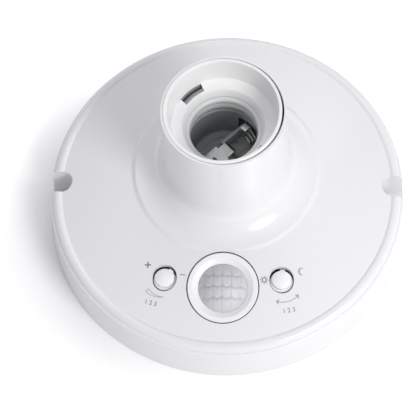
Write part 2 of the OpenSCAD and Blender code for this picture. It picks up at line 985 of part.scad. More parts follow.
front_cover();
back_plate();
cover_screws();
lamp_socket();
centre_contact();
side_contact();
sensor_bezel();
sensor_lens();
motion_sensor();
sensor_stand();
light_sensor();
time_knob();
lux_knob();
time_rotor();
lux_rotor();
time_pot();
lux_pot();
circuit_board();
board_screws();
control_chip();
relay();
film_capacitor();
electrolytic_capacitors();
rectifier_diodes();
fusible_resistor();
varistor();
terminal_block();
terminal_screws();
live_wire();
neutral_wire();
lamp_live_wire();
lamp_neutral_wire();
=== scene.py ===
import bpy
import bmesh
import json
import math
from mathutils import Matrix, Vector


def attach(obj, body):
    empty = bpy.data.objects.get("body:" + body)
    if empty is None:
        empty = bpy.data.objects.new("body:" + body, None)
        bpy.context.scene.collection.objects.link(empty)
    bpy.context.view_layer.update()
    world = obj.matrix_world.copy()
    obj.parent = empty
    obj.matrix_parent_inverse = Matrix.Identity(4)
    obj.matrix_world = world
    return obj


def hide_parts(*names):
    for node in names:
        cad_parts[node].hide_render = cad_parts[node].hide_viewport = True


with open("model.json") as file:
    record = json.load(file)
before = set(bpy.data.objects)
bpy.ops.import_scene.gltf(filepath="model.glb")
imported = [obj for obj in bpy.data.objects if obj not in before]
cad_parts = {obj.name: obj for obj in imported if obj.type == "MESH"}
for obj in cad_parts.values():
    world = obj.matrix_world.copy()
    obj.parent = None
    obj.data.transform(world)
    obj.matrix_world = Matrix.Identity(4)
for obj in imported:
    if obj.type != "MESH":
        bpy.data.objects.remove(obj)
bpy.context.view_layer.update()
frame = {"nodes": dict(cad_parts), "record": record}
scene = bpy.context.scene
scene.view_settings.view_transform = "Standard"
mm = 0.001

print("stage: camera")
photoCamera = {
    "place": (0.01294, -0.18043, 0.39466),
    "forward": (-0.04736, 0.41245, -0.90975),
    "up": (-0.01487, 0.91038, 0.41351),
    "lens": 93.95,
}


def aimCamera(settings):
    forward = Vector(settings["forward"]).normalized()
    right = forward.cross(Vector(settings["up"])).normalized()
    up = right.cross(forward)
    data = bpy.data.cameras.new("photoCamera")
    data.lens = settings["lens"]
    data.sensor_width = 36
    data.clip_start = 0.01
    data.clip_end = 20
    camera = bpy.data.objects.new("photoCamera", data)
    turn = Matrix((right, up, -forward)).transposed().to_4x4()
    camera.matrix_world = Matrix.Translation(Vector(settings["place"])) @ turn
    scene.collection.objects.link(camera)
    scene.camera = camera
    return camera


aimCamera(photoCamera)

print("stage: materials")


class Wire:  # an output socket, so that shader maths reads as plain sums
    def __init__(self, finish, socket):
        self.finish = finish
        self.socket = socket

    def maths(self, operation, first, second=0.0, clamp=False):
        return self.finish.node("ShaderNodeMath", {"operation": operation, "use_clamp": clamp}, {0: first, 1: second})

    def __add__(self, other):
        return self.maths("ADD", self, other)

    def __radd__(self, other):
        return self.maths("ADD", other, self)

    def __sub__(self, other):
        return self.maths("SUBTRACT", self, other)

    def __rsub__(self, other):
        return self.maths("SUBTRACT", other, self)

    def __mul__(self, other):
        return self.maths("MULTIPLY", self, other)

    def __rmul__(self, other):
        return self.maths("MULTIPLY", other, self)

    def __truediv__(self, other):
        return self.maths("DIVIDE", self, other)

    def __pow__(self, other):
        return self.maths("POWER", self, other)

    def over(self, level):
        return self.maths("GREATER_THAN", self, level)

    def sine(self):
        return self.maths("SINE", self)

    def clamped(self):
        return self.maths("ADD", self, 0.0, clamp=True)


class Finish:  # one material, built node by node
    def __init__(self, name):
        self.material = bpy.data.materials.new(name)
        self.material.use_nodes = True
        self.tree = self.material.node_tree
        self.tree.nodes.clear()
        self.out = self.tree.nodes.new("ShaderNodeOutputMaterial")
        self.placed = 0

    def node(self, kind, settings=None, sockets=None, out=0):
        made = self.tree.nodes.new(kind)
        self.placed += 1
        made.location = (-200 * (self.placed % 8) - 300, 240 * (self.placed // 8))
        for key, value in (settings or {}).items():
            if key == "stops":
                ramp = made.color_ramp
                while len(ramp.elements) < len(value):
                    ramp.elements.new(0.5)
                for element, (place, colour) in zip(ramp.elements, value):
                    element.position = place
                    element.color = (*colour, 1)
            else:
                setattr(made, key, value)
        for key, value in (sockets or {}).items():
            target = made.inputs[key]
            if isinstance(value, Wire):
                self.tree.links.new(value.socket, target)
            elif target.type == "RGBA" and len(value) == 3:
                target.default_value = (*value, 1)
            else:
                target.default_value = value
        return Wire(self, made.outputs[out])

    def place(self):
        return self.node("ShaderNodeTexCoord", out="Object")

    def noise(self, size, detail=3.0, rough=0.55, vector=None):
        return self.node("ShaderNodeTexNoise", {}, {"Vector": vector or self.place(), "Scale": 1 / size,
                                                    "Detail": detail, "Roughness": rough}, out="Fac")

    def mix(self, share, first, second):
        return self.node("ShaderNodeMix", {"data_type": "RGBA"}, {0: share, 6: first, 7: second}, out=2)

    def ramp(self, value, stops):
        return self.node("ShaderNodeValToRGB", {"stops": stops}, {0: value})

    def bump(self, height, distance, strength=1.0, under=None):
        sockets = {"Height": height, "Distance": distance, "Strength": strength}
        if under is not None:
            sockets["Normal"] = under
        return self.node("ShaderNodeBump", {}, sockets, out="Normal")

    def shader(self, **values):
        wire = self.node("ShaderNodeBsdfPrincipled", {}, values and {k.replace("_", " "): v for k, v in values.items()})
        self.tree.links.new(wire.socket, self.out.inputs["Surface"])
        return wire


whitePlastic = {
    "cover": {"colour": (0.80, 0.80, 0.815), "rough": 0.17, "grain": 0.9 * mm, "depth": 0.006 * mm},
    "socket": {"colour": (0.865, 0.865, 0.87), "rough": 0.42, "grain": 0.5 * mm, "depth": 0.008 * mm},
    "bezel": {"colour": (0.88, 0.885, 0.90), "rough": 0.36, "grain": 0.5 * mm, "depth": 0.006 * mm},
    "knob": {"colour": (0.89, 0.89, 0.905), "rough": 0.33, "grain": 0.3 * mm, "depth": 0.006 * mm},
    "plate": {"colour": (0.72, 0.72, 0.71), "rough": 0.55, "grain": 0.35 * mm, "depth": 0.015 * mm},
}


# the neck's axis, and where painted shade darkens the socket's white on the way down
throat = {
    "place": (-0.2 * mm, 4.4 * mm),
    "from": 59 * mm,
    "lean": 0.15,
    "fade": 12 * mm,
    "paintedShade": (0.285, 0.315, 0.32),
    "shoulder": (59.5 * mm, 18.2 * mm, 0.57),
    "slotFrom": 14.95 * mm,
    "hollow": 19.6 * mm,
    "wall": 12.2 * mm,
}


seat = {"place": (0, -43.5 * mm, 22.893 * mm), "tilt": 9.63, "gapFrom": 12.95 * mm, "gapTo": 13.35 * mm}


def fromAxis(finish):
    # height, distance from the neck's axis, and how far to the right
    x = finish.node("ShaderNodeSeparateXYZ", {}, {0: finish.place()}, out="X") - throat["place"][0]
    y = finish.node("ShaderNodeSeparateXYZ", {}, {0: finish.place()}, out="Y") - throat["place"][1]
    z = finish.node("ShaderNodeSeparateXYZ", {}, {0: finish.place()}, out="Z")
    square = x * x + y * y
    return z, square.maths("SQRT", square), x


def socketPaintedShade(finish):
    # painted shade: darker below the thread, starting higher towards the left, and in the two hook slots
    height, reach, right = fromAxis(finish)
    deep = ((throat["from"] - right * throat["lean"] - height) / throat["fade"]).clamped()
    deep = deep * (1 - (throat["wall"] - reach).over(0.0) * 0.35)  # the ribs and pads inside stay lighter
    level, rim, slope = throat["shoulder"]
    inSlot = ((level - slope * (rim - reach)) - height).over(0.0) * reach.over(throat["slotFrom"])
    return deep.maths("MAXIMUM", deep * 0.94, inSlot * 0.9)


def hollowPaintedShade(finish):
    # painted shade on the cover's inside behind the hook slots, and on the wall of the opening round the sensor's ring
    reach = fromAxis(finish)[1]
    return (throat["hollow"] - reach).over(0.0).maths("MAXIMUM", (throat["hollow"] - reach).over(0.0) * 0.8,
                                                      (seat["gapTo"] - fromSeat(finish)).over(0.0))


def fromSeat(finish):
    # distance from the axis of the sensor, which is square to the domed face
    turned = finish.node("ShaderNodeMapping", {"vector_type": "TEXTURE"},
                         {"Vector": finish.place(), "Location": seat["place"],
                          "Rotation": (math.radians(seat["tilt"]), 0, 0)})
    x = finish.node("ShaderNodeSeparateXYZ", {}, {0: turned}, out="X")
    y = finish.node("ShaderNodeSeparateXYZ", {}, {0: turned}, out="Y")
    square = x * x + y * y
    return square.maths("SQRT", square)


def ringEdgePaintedShade(finish):
    # painted shade on the ring's outer edge, down in the gap round it
    return fromSeat(finish).over(seat["gapFrom"])


def mouldedWhite(name, look, paintedShade=None):
    finish = Finish(name)
    cloud = finish.noise(38 * mm, 2.0)
    flow = finish.noise(7 * mm, 4.0)
    grain = finish.noise(look["grain"], 2.0)
    speck = finish.noise(0.55 * mm, 1.0).over(0.74)
    tone = look["colour"]
    warm = tuple(c * k for c, k in zip(tone, (1.0, 0.992, 0.972)))
    cool = tuple(c * k for c, k in zip(tone, (0.975, 0.98, 1.0)))
    colour = finish.mix((cloud * 0.7 + flow * 0.3), warm, cool)
    colour = finish.mix(speck * 0.06, colour, tuple(c * 0.6 for c in tone))
    # the given mask paints shade into the colour
    if paintedShade:
        colour = finish.mix(paintedShade(finish), colour, throat["paintedShade"])
    rough = look["rough"] + (flow - 0.5) * 0.08 + (grain - 0.5) * 0.05
    finish.shader(Base_Color=colour, Roughness=rough, IOR=1.5, Normal=finish.bump(grain, look["depth"]))
    return finish.material


# the ball that the lens facets bulge out to, and the painted shade down in the valleys between them
lensBall = {"middle": (0, -42.15 * mm, 14.936 * mm), "radius": 11.03 * mm, "depth": 0.3 * mm, "share": 0.5,
            "tone": (0.36, 0.37, 0.40)}


def milkyLens(name):
    finish = Finish(name)
    cloud = finish.noise(6 * mm, 3.0)
    fine = finish.noise(0.35 * mm, 2.0)
    colour = finish.mix(cloud, (0.63, 0.63, 0.67), (0.72, 0.705, 0.74))
    reach = finish.node("ShaderNodeVectorMath", {"operation": "DISTANCE"}, {0: finish.place(), 1: lensBall["middle"]},
                        out="Value")
    valley = ((lensBall["radius"] - reach) / lensBall["depth"]).clamped()
    # painted shade, deeper in the valleys between the facets
    colour = finish.mix(valley * lensBall["share"], colour, lensBall["tone"])
    finish.shader(Base_Color=colour, Roughness=0.5 + (fine - 0.5) * 0.1, IOR=1.48, Transmission_Weight=0.12,
                  Normal=finish.bump(fine, 0.004 * mm))
    return finish.material


metals = {
    "spring": {"colour": (0.72, 0.73, 0.72), "rough": 0.26, "streak": (3 * mm, 0.25 * mm, 3 * mm), "spots": 0.3,
               "darkerBelow": 34.6 * mm, "dark": 0.34},
    "nickel": {"colour": (0.39, 0.405, 0.41), "rough": 0.30, "streak": (0.25 * mm, 3 * mm, 3 * mm), "spots": 0.4},
    "zinc": {"colour": (0.66, 0.67, 0.70), "rough": 0.34, "streak": (1 * mm, 1 * mm, 0.2 * mm), "spots": 0.18},
    "can": {"colour": (0.68, 0.65, 0.55), "rough": 0.28, "streak": (2 * mm, 2 * mm, 0.3 * mm), "spots": 0.08},
}


def platedMetal(name, look):
    finish = Finish(name)
    stretched = finish.node("ShaderNodeMapping", {}, {"Vector": finish.place(),
                                                      "Scale": tuple(mm / s for s in look["streak"])})
    brushed = finish.noise(1 * mm, 5.0, 0.6, stretched)
    cloud = finish.noise(2.5 * mm, 4.0)
    tarnish = (cloud - 0.5).maths("MAXIMUM", cloud - 0.5, 0.0) * (4 * look["spots"])
    # darker below this height
    if "darkerBelow" in look:
        height = finish.node("ShaderNodeSeparateXYZ", {}, {0: finish.place()}, out="Z")
        tarnish = tarnish + (look["darkerBelow"] - height).over(0.0) * 0.85
    dark = tuple(c * look.get("dark", 0.72) for c in look["colour"])
    colour = finish.mix(tarnish.clamped(), look["colour"], dark)
    finish.shader(Base_Color=colour, Metallic=1.0, Roughness=look["rough"] + (brushed - 0.5) * 0.22 + tarnish * 0.5,
                  Normal=finish.bump(brushed, 0.006 * mm))
    return finish.material


innerPlastics = {
    "black": {"colour": (0.028, 0.028, 0.031), "rough": 0.48, "vary": 0.35},
    "blue": {"colour": (0.045, 0.14, 0.46), "rough": 0.38, "vary": 0.2},
    "yellow": {"colour": (0.62, 0.43, 0.05), "rough": 0.36, "vary": 0.2},
    "tan": {"colour": (0.52, 0.33, 0.16), "rough": 0.6, "vary": 0.3},
    "brownWire": {"colour": (0.16, 0.06, 0.025), "rough": 0.32, "vary": 0.2},
    "blueWire": {"colour": (0.04, 0.13, 0.50), "rough": 0.32, "vary": 0.2},
    "redWire": {"colour": (0.50, 0.025, 0.02), "rough": 0.32, "vary": 0.2},
    "blackWire": {"colour": (0.02, 0.02, 0.022), "rough": 0.34, "vary": 0.3},
}


def innerPlastic(name, look):
    finish = Finish(name)
    cloud = finish.noise(4 * mm, 4.0)
    grain = finish.noise(0.4 * mm, 2.0)
    low = tuple(c * (1 - look["vary"]) for c in look["colour"])
    high = tuple(min(1.0, c * (1 + look["vary"])) for c in look["colour"])
    finish.shader(Base_Color=finish.mix(cloud, low, high), Roughness=look["rough"] + (grain - 0.5) * 0.16,
                  Normal=finish.bump(grain, 0.012 * mm))
    return finish.material


def lacqueredBoard(name):
    finish = Finish(name)
    cell = finish.node("ShaderNodeTexVoronoi", {"feature": "DISTANCE_TO_EDGE"},
                       {"Vector": finish.place(), "Scale": 1 / (4.5 * mm)}, out="Distance")
    track = 1 - cell.over(0.09)
    cloud = finish.noise(5 * mm, 3.0)
    green = finish.mix(cloud, (0.012, 0.11, 0.035), (0.02, 0.17, 0.055))
    colour = finish.mix(track * 0.8, green, (0.05, 0.27, 0.09))
    finish.shader(Base_Color=colour, Roughness=0.3 + (cloud - 0.5) * 0.12, Coat_Weight=0.35,
                  Normal=finish.bump(track, 0.04 * mm))
    return finish.material


def greyInk(name, low, high):
    finish = Finish(name)
    wear = finish.noise(0.25 * mm, 3.0)
    colour = finish.mix(wear, low, high)
    finish.shader(Base_Color=colour, Roughness=0.42 + (wear - 0.5) * 0.2)
    return finish.material


slotFinishes = {
    "cover_white": mouldedWhite("coverPlastic", whitePlastic["cover"], hollowPaintedShade),
    "socket_white": mouldedWhite("socketPlastic", whitePlastic["socket"], socketPaintedShade),
    "knob_white": mouldedWhite("knobPlastic", whitePlastic["knob"]),
    "plate_white": mouldedWhite("platePlastic", whitePlastic["plate"]),
    "lens_milky": milkyLens("lensPlastic"),
    "nickel": platedMetal("nickelPlate", metals["nickel"]),
    "screw_steel": platedMetal("zincPlate", metals["zinc"]),
    "sensor_can": platedMetal("sensorCan", metals["can"]),
    "board_green": lacqueredBoard("boardLacquer"),
    "black_plastic": innerPlastic("blackPlastic", innerPlastics["black"]),
    "blue_plastic": innerPlastic("bluePlastic", innerPlastics["blue"]),
    "yellow_plastic": innerPlastic("yellowPlastic", innerPlastics["yellow"]),
    "ceramic_tan": innerPlastic("tanCeramic", innerPlastics["tan"]),
    "wire_brown": innerPlastic("brownWire", innerPlastics["brownWire"]),
    "wire_blue": innerPlastic("blueWire", innerPlastics["blueWire"]),
    "wire_red": innerPlastic("redWire", innerPlastics["redWire"]),
    "wire_black": innerPlastic("blackWire", innerPlastics["blackWire"]),
}
inks = {
    "dark": greyInk("darkInk", (0.10, 0.10, 0.11), (0.22, 0.22, 0.235)),
    "pale": greyInk("paleInk", (0.30, 0.30, 0.32), (0.46, 0.46, 0.48)),
}

# painted shade: a dark grey for the strips laid in the hook slots
whitePlastic["hook"] = {"colour": (0.25, 0.265, 0.27), "rough": 0.5, "grain": 0.3 * mm, "depth": 0.01 * mm}
slotFinishes["hook_shade"] = mouldedWhite("hookSlotShade", whitePlastic["hook"])
metals["tab"] = {"colour": (0.90, 0.91, 0.90), "rough": 0.5, "streak": (1 * mm, 1 * mm, 1 * mm), "spots": 0.1}
slotFinishes["tin"] = platedMetal("tinPlate", metals["tab"])
ownFinishes = {
    "sensor_bezel": mouldedWhite("bezelPlastic", whitePlastic["bezel"], ringEdgePaintedShade),
    "side_contact": platedMetal("springMetal", metals["spring"]),
}
nodeSlots = {s["node"]: s["material_slot"] for s in frame["record"]["subparts"]}
for nodeName, cadNode in frame["nodes"].items():
    finish = ownFinishes.get(nodeName, slotFinishes[nodeSlots[nodeName]])
    if not cadNode.material_slots:
        cadNode.data.materials.append(finish)
    for materialSlot in cadNode.material_slots:
        materialSlot.material = finish

print("stage: signs on the face")
face = {"domeRadius": 260 * mm, "domeMiddle": -233.117 * mm, "lift": 0.03 * mm, "thick": 0.05 * mm}


def faceHeight(x, y):
    return face["domeMiddle"] + math.sqrt(face["domeRadius"] ** 2 - x * x - y * y)


def deselectAll():
    for thing in bpy.context.selected_objects:
        thing.select_set(False)


def openMesh(name):
    shape = bpy.context.active_object
    shape.name = name
    shape.data.name = name
    bpy.ops.object.mode_set(mode="EDIT")
    return shape


def closeMesh():
    bpy.ops.object.mode_set(mode="OBJECT")


def signDisc(x, y, radius, corners=32, kind="TRIFAN"):
    deselectAll()
    bpy.ops.mesh.primitive_circle_add(vertices=corners, radius=radius, fill_type=kind, location=(x, y, 0))


def signStrip(points, width):
    # a flat strip along points, made as one row of quads by extruding an edge
    deselectAll()
    first, second = Vector(points[0]), Vector(points[1])
    way = (second - first).normalized()
    side = Vector((-way.y, way.x))
    bpy.ops.mesh.primitive_plane_add(size=1, location=(0, 0, 0))
    strip = openMesh("strip")
    mesh = bmesh.from_edit_mesh(strip.data)
    mesh.verts.ensure_lookup_table()
    widths = width if isinstance(width, (list, tuple)) else [width] * len(points)
    corners = [first - side * widths[0] / 2, first + side * widths[0] / 2]
    bmesh.ops.delete(mesh, geom=[mesh.verts[2], mesh.verts[3]], context="VERTS")
    mesh.verts.ensure_lookup_table()
    for vertex, corner in zip(mesh.verts, corners):
        vertex.co = (corner.x, corner.y, 0)
    bmesh.update_edit_mesh(strip.data)
    for i in range(1, len(points)):
        here = Vector(points[i])
        into = (here - Vector(points[i - 1])).normalized()
        out = (Vector(points[i + 1]) - here).normalized() if i + 1 < len(points) else into
        middle = (into + out).normalized()
        side = Vector((-middle.y, middle.x))
        reach = widths[i] / 2 / max(0.3, middle.dot(into))
        bpy.ops.mesh.select_all(action="DESELECT")
        mesh = bmesh.from_edit_mesh(strip.data)
        mesh.verts.ensure_lookup_table()
        for vertex in mesh.verts[-2:]:
            vertex.select_set(True)
        mesh.select_flush(True)
        bmesh.update_edit_mesh(strip.data)
        bpy.ops.mesh.extrude_region()
        mesh = bmesh.from_edit_mesh(strip.data)
        chosen = [v for v in mesh.verts if v.select]
        ends = [here - side * reach, here + side * reach]
        if (chosen[0].co.xy - ends[0]).length > (chosen[1].co.xy - ends[0]).length:
            ends.reverse()
        for vertex, corner in zip(chosen, ends):
            vertex.co = (corner.x, corner.y, 0)
        bmesh.update_edit_mesh(strip.data)
    closeMesh()
    return strip


def joinSign(name, shapes):
    deselectAll()
    for shape in shapes:
        shape.select_set(True)
    bpy.context.view_layer.objects.active = shapes[0]
    bpy.ops.object.transform_apply(location=True, rotation=True, scale=True)
    if len(shapes) > 1:
        bpy.ops.object.join()
    sign = bpy.context.active_object
    sign.name = name
    sign.data.name = name
    return sign


def layOnFace(sign, ink="pale"):
    # the print follows the domed face and has a real, thin body
    for vertex in sign.data.vertices:
        vertex.co.z = faceHeight(vertex.co.x, vertex.co.y) + face["lift"]
    deselectAll()
    sign.select_set(True)
    bpy.context.view_layer.objects.active = sign
    bpy.ops.object.mode_set(mode="EDIT")
    bpy.ops.mesh.select_all(action="SELECT")
    bpy.ops.mesh.remove_doubles(threshold=0.002 * mm)
    bpy.ops.mesh.normals_make_consistent(inside=False)
    closeMesh()
    if sum(p.normal.z * p.area for p in sign.data.polygons) < 0:
        bpy.ops.object.mode_set(mode="EDIT")
        bpy.ops.mesh.select_all(action="SELECT")
        bpy.ops.mesh.flip_normals()
        closeMesh()
    body = sign.modifiers.new("body", "SOLIDIFY")
    body.thickness = face["thick"]
    body.offset = -1
    bpy.ops.object.modifier_apply(modifier="body")
    sign.data.materials.clear()
    sign.data.materials.append(inks[ink])
    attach(sign, "holder")
    return sign


def arcPoints(x, y, radius, start, end, count):
    turns = [math.radians(start + (end - start) * i / (count - 1)) for i in range(count)]
    return [(x + radius * math.cos(a), y + radius * math.sin(a)) for a in turns]


signs = {
    "line": 0.36 * mm,
    "plus": (-27.8 * mm, -35.3 * mm, 1.15 * mm),
    "minus": (-14.8 * mm, -39.1 * mm, 1.05 * mm),
    "sun": (15.05 * mm, -40.5 * mm, 0.72 * mm, 1.45 * mm),
    "moon": (29.0 * mm, -36.75 * mm, 1.3 * mm),
    "lever": (-21.6 * mm, -40.2 * mm, 7.0 * mm),
    "arrow": (21.3 * mm, -40.0 * mm, 8.3 * mm, 258, 319),
}

x, y, reach = signs["plus"]
layOnFace(joinSign("plusSign", [signStrip([(x - reach, y), (x + reach, y)], signs["line"] * 1.2),
                                signStrip([(x, y - reach), (x, y - signs["line"] * 0.6)], signs["line"] * 1.2),
                                signStrip([(x, y + signs["line"] * 0.6), (x, y + reach)], signs["line"] * 1.2)]),
          "dark")
x, y, reach = signs["minus"]
layOnFace(joinSign("minusSign", [signStrip([(x - reach, y + 0.15 * mm), (x + reach, y - 0.15 * mm)],
                                           signs["line"] * 1.2)]))

x, y, ring, reach = signs["sun"]
rays = [signStrip([(x + ring * 1.35 * math.cos(a), y + ring * 1.35 * math.sin(a)),
                   (x + reach * math.cos(a), y + reach * math.sin(a))], signs["line"] * 0.7)
        for a in (math.radians(45 * i) for i in range(8))]
layOnFace(joinSign("sunSign", [signStrip(arcPoints(x, y, ring, 0, 360, 33), signs["line"] * 0.85)] + rays), "dark")

x, y, reach = signs["moon"]
crescent = arcPoints(x, y, reach, 75, 285, 25)
layOnFace(joinSign("moonSign", [signStrip(crescent, [0.05 * mm + 0.62 * mm * math.sin(math.pi * i / 24) ** 0.8
                                                     for i in range(25)])]))

x, y, reach = signs["lever"]
outer = arcPoints(x, y, reach + 1.2 * mm, 216, 268, 21)
inner = arcPoints(x, y, reach - 0.2 * mm, 216, 268, 21)
tip = arcPoints(x, y, reach, 270, 270, 2)[:1]
wedge = [Vector(a).lerp(Vector(b), i / 20) for i, (a, b) in enumerate(zip(outer, arcPoints(x, y, reach, 216, 268, 21)))]
under = [Vector(a).lerp(Vector(b), i / 20) for i, (a, b) in enumerate(zip(inner, arcPoints(x, y, reach, 216, 268, 21)))]
layOnFace(joinSign("wedgeSign", [signStrip([tuple(p) for p in wedge] + tip, signs["line"] * 0.6),
                                 signStrip([tuple(p) for p in under] + tip, signs["line"] * 0.6),
                                 signStrip([outer[0], inner[0]], signs["line"] * 0.6)]))

x, y, reach, start, end = signs["arrow"]
bow = arcPoints(x, y, reach, start + 6, end - 6, 21)
head = 1.05 * mm
firstTip, lastTip = arcPoints(x, y, reach, start - 2, end + 2, 2)
layOnFace(joinSign("arrowSign", [signStrip(bow, signs["line"] * 0.8),
                                 signStrip([bow[0], firstTip], [2 * head, 0.04 * mm]),
                                 signStrip([bow[-1], lastTip], [2 * head, 0.04 * mm])]))


def numberSign(name, words, x, y, size, turn):
    deselectAll()
    bpy.ops.object.text_add(location=(x, y, 0), rotation=(0, 0, math.radians(turn)))
    text = bpy.context.active_object
    text.data.body = words
    text.data.size = size
    text.data.align_x = "CENTER"
    text.data.align_y = "CENTER"
    text.data.resolution_u = 3
    bpy.ops.object.convert(target="MESH")
    return layOnFace(joinSign(name, [bpy.context.active_object]), "dark")


numbers = {
    "left": ("1 2 3", -26.2 * mm, -49.3 * mm, 2.3 * mm, -14),
    "right": ("1 2 3", 24.2 * mm, -51.1 * mm, 2.3 * mm, 12),
}
numberSign("timeNumbers", *numbers["left"])
numberSign("lightNumbers", *numbers["right"])

print("stage: fine pieces")


def ringOf(name, place, rings, finish, body, corners=144):
    # a turned ring: a circle is extruded from one radius and height to the next, back to the first
    deselectAll()
    (x, y), (radius, height) = place, rings[0]
    bpy.ops.mesh.primitive_circle_add(vertices=corners, radius=radius, location=(x, y, height))
    bpy.ops.object.transform_apply(location=True, rotation=True, scale=True)
    piece = openMesh(name)
    bpy.ops.mesh.select_all(action="SELECT")
    for nextRadius, nextHeight in rings[1:] + rings[:1]:
        bpy.ops.mesh.extrude_region_move(TRANSFORM_OT_translate={"value": (0, 0, nextHeight - height)})
        share = nextRadius / radius
        bpy.ops.transform.resize(value=(share, share, 1), center_override=(x, y, nextHeight))
        radius, height = nextRadius, nextHeight
    return finishMesh(piece, finish, body)


def finishMesh(piece, finish, body, smooth=40):
    bpy.ops.mesh.select_all(action="SELECT")
    bpy.ops.mesh.remove_doubles(threshold=0.001 * mm)
    bpy.ops.mesh.normals_make_consistent(inside=False)
    closeMesh()
    deselectAll()
    piece.select_set(True)
    bpy.context.view_layer.objects.active = piece
    bpy.ops.object.shade_smooth_by_angle(angle=math.radians(smooth))
    piece.data.materials.append(slotFinishes[finish])
    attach(piece, body)
    return piece


# the lip sits a little to the left, so the gap round it shows at the right and in front
socketLip = {"place": (-0.42 * mm, 4.5 * mm), "inner": 19.5 * mm, "outer": 20.72 * mm, "top": 68.92 * mm}
inner, outer, top = socketLip["inner"], socketLip["outer"], socketLip["top"]
ringOf("socketLip", socketLip["place"],
       [(outer, top - 2.2 * mm), (outer, top - 0.35 * mm), (outer - 0.1 * mm, top - 0.12 * mm),
        (outer - 0.32 * mm, top), (inner + 0.3 * mm, top), (inner + 0.08 * mm, top - 0.12 * mm),
        (inner, top - 0.4 * mm), (inner - 0.05 * mm, top - 1.4 * mm), (inner + 0.5 * mm, top - 2.2 * mm)],
       "socket_white", "holder")

# the soft band where the raised foot runs out on the domed face
footBand = {"place": (0, 4.4 * mm), "from": 34.15 * mm, "to": 36.2 * mm, "edge": 25.62 * mm, "steps": 7,
            "narrow": 0.13, "spread": 28}
x, y = footBand["place"]
deselectAll()
bpy.ops.mesh.primitive_circle_add(vertices=240, radius=footBand["from"], location=(x, y, 0))
bpy.ops.object.transform_apply(location=True, rotation=True, scale=True)
band = openMesh("footBand")
bpy.ops.mesh.select_all(action="SELECT")
radius = footBand["from"]
for step in range(1, footBand["steps"] + 1):
    nextRadius = footBand["from"] + (footBand["to"] - footBand["from"]) * step / footBand["steps"]
    bpy.ops.mesh.extrude_region_move()
    bpy.ops.transform.resize(value=(nextRadius / radius, nextRadius / radius, 1), center_override=(x, y, 0))
    radius = nextRadius
closeMesh()
for vertex in band.data.vertices:
    share = (math.hypot(vertex.co.x - x, vertex.co.y - y) - footBand["from"]) / (footBand["to"] - footBand["from"])
    fall = min(1, max(0, share)) ** 2 * (3 - 2 * min(1, max(0, share)))
    # in front it narrows, where the ring of the sensor comes close
    turn = abs(math.degrees(math.atan2(vertex.co.x - x, y - vertex.co.y))) / footBand["spread"]
    width = footBand["narrow"] + (1 - footBand["narrow"]) * min(1, turn) ** 2 * (3 - 2 * min(1, turn))
    reach = footBand["from"] + share * (footBand["to"] - footBand["from"]) * width
    way = (vertex.co.xy - Vector((x, y))).normalized()
    vertex.co.x, vertex.co.y = x + way.x * reach, y + way.y * reach
    low = faceHeight(vertex.co.x, vertex.co.y) + 0.02 * mm
    vertex.co.z = footBand["edge"] + (low - footBand["edge"]) * fall
band.select_set(True)
bpy.context.view_layer.objects.active = band
bpy.ops.object.mode_set(mode="EDIT")
bpy.ops.mesh.select_all(action="SELECT")
bpy.ops.mesh.normals_make_consistent(inside=False)
closeMesh()
if sum(p.normal.z * p.area for p in band.data.polygons) < 0:
    bpy.ops.object.mode_set(mode="EDIT")
    bpy.ops.mesh.select_all(action="SELECT")
    bpy.ops.mesh.flip_normals()
    closeMesh()
wall = band.modifiers.new("wall", "SOLIDIFY")
wall.thickness = 0.25 * mm
wall.offset = -1
bpy.ops.object.modifier_apply(modifier="wall")
bpy.ops.object.mode_set(mode="EDIT")
finishMesh(band, "cover_white", "holder")


def curvedBar(name, place, radius, width, turns, top, tall, finish):
    # a strip of metal or plastic, bent round an upright axis
    bar = joinSign(name, [signStrip(arcPoints(*place, radius, *turns, 25), width)])
    for vertex in bar.data.vertices:
        vertex.co.z = top
    deselectAll()
    bar.select_set(True)
    bpy.context.view_layer.objects.active = bar
    if sum(p.normal.z * p.area for p in bar.data.polygons) < 0:
        bpy.ops.object.mode_set(mode="EDIT")
        bpy.ops.mesh.select_all(action="SELECT")
        bpy.ops.mesh.flip_normals()
        closeMesh()
    wall = bar.modifiers.new("wall", "SOLIDIFY")
    wall.thickness = tall
    wall.offset = -1
    bpy.ops.object.modifier_apply(modifier="wall")
    rounding = bar.modifiers.new("rounding", "BEVEL")
    rounding.width = min(width, tall) * 0.18
    rounding.segments = 2
    bpy.ops.object.modifier_apply(modifier="rounding")
    bpy.ops.object.mode_set(mode="EDIT")
    return finishMesh(bar, finish, "holder")


# curved spring leaves beside the side contact, and two dark strips on the shoulder that paint the shade down in the two
# hook slots
leaves = {
    "outerLeaf": {"radius": 12.1 * mm, "width": 0.34 * mm, "turns": (20, 49), "top": 40.4 * mm, "tall": 2.6 * mm},
    "middleLeaf": {"radius": 11.1 * mm, "width": 0.30 * mm, "turns": (22, 46), "top": 38.9 * mm, "tall": 2.2 * mm},
    "innerLeaf": {"radius": 10.1 * mm, "width": 0.30 * mm, "turns": (25, 42), "top": 37.2 * mm, "tall": 1.8 * mm},
}
for leafName, leaf in leaves.items():
    curvedBar(leafName, throat["place"], leaf["radius"], leaf["width"], leaf["turns"], leaf["top"], leaf["tall"],
              "screw_steel")
springTab = {"radius": 11.2 * mm, "width": 2.6 * mm, "turns": (42, 55), "top": 41.4 * mm, "tall": 0.5 * mm}
curvedBar("springTab", throat["place"], springTab["radius"], springTab["width"], springTab["turns"],
          springTab["top"], springTab["tall"], "tin")
hookSlotShadeStrip = {"radius": 16.05 * mm, "width": 1.1 * mm, "spread": 15.6, "top": 58.75 * mm, "tall": 0.9 * mm,
           "turns": (133.5, 313.5)}
for number, turn in enumerate(hookSlotShadeStrip["turns"]):
    curvedBar("hookSlotShadeStrip%d" % (number + 1), throat["place"], hookSlotShadeStrip["radius"], hookSlotShadeStrip["width"],
              (turn - hookSlotShadeStrip["spread"], turn + hookSlotShadeStrip["spread"]), hookSlotShadeStrip["top"], hookSlotShadeStrip["tall"], "hook_shade")

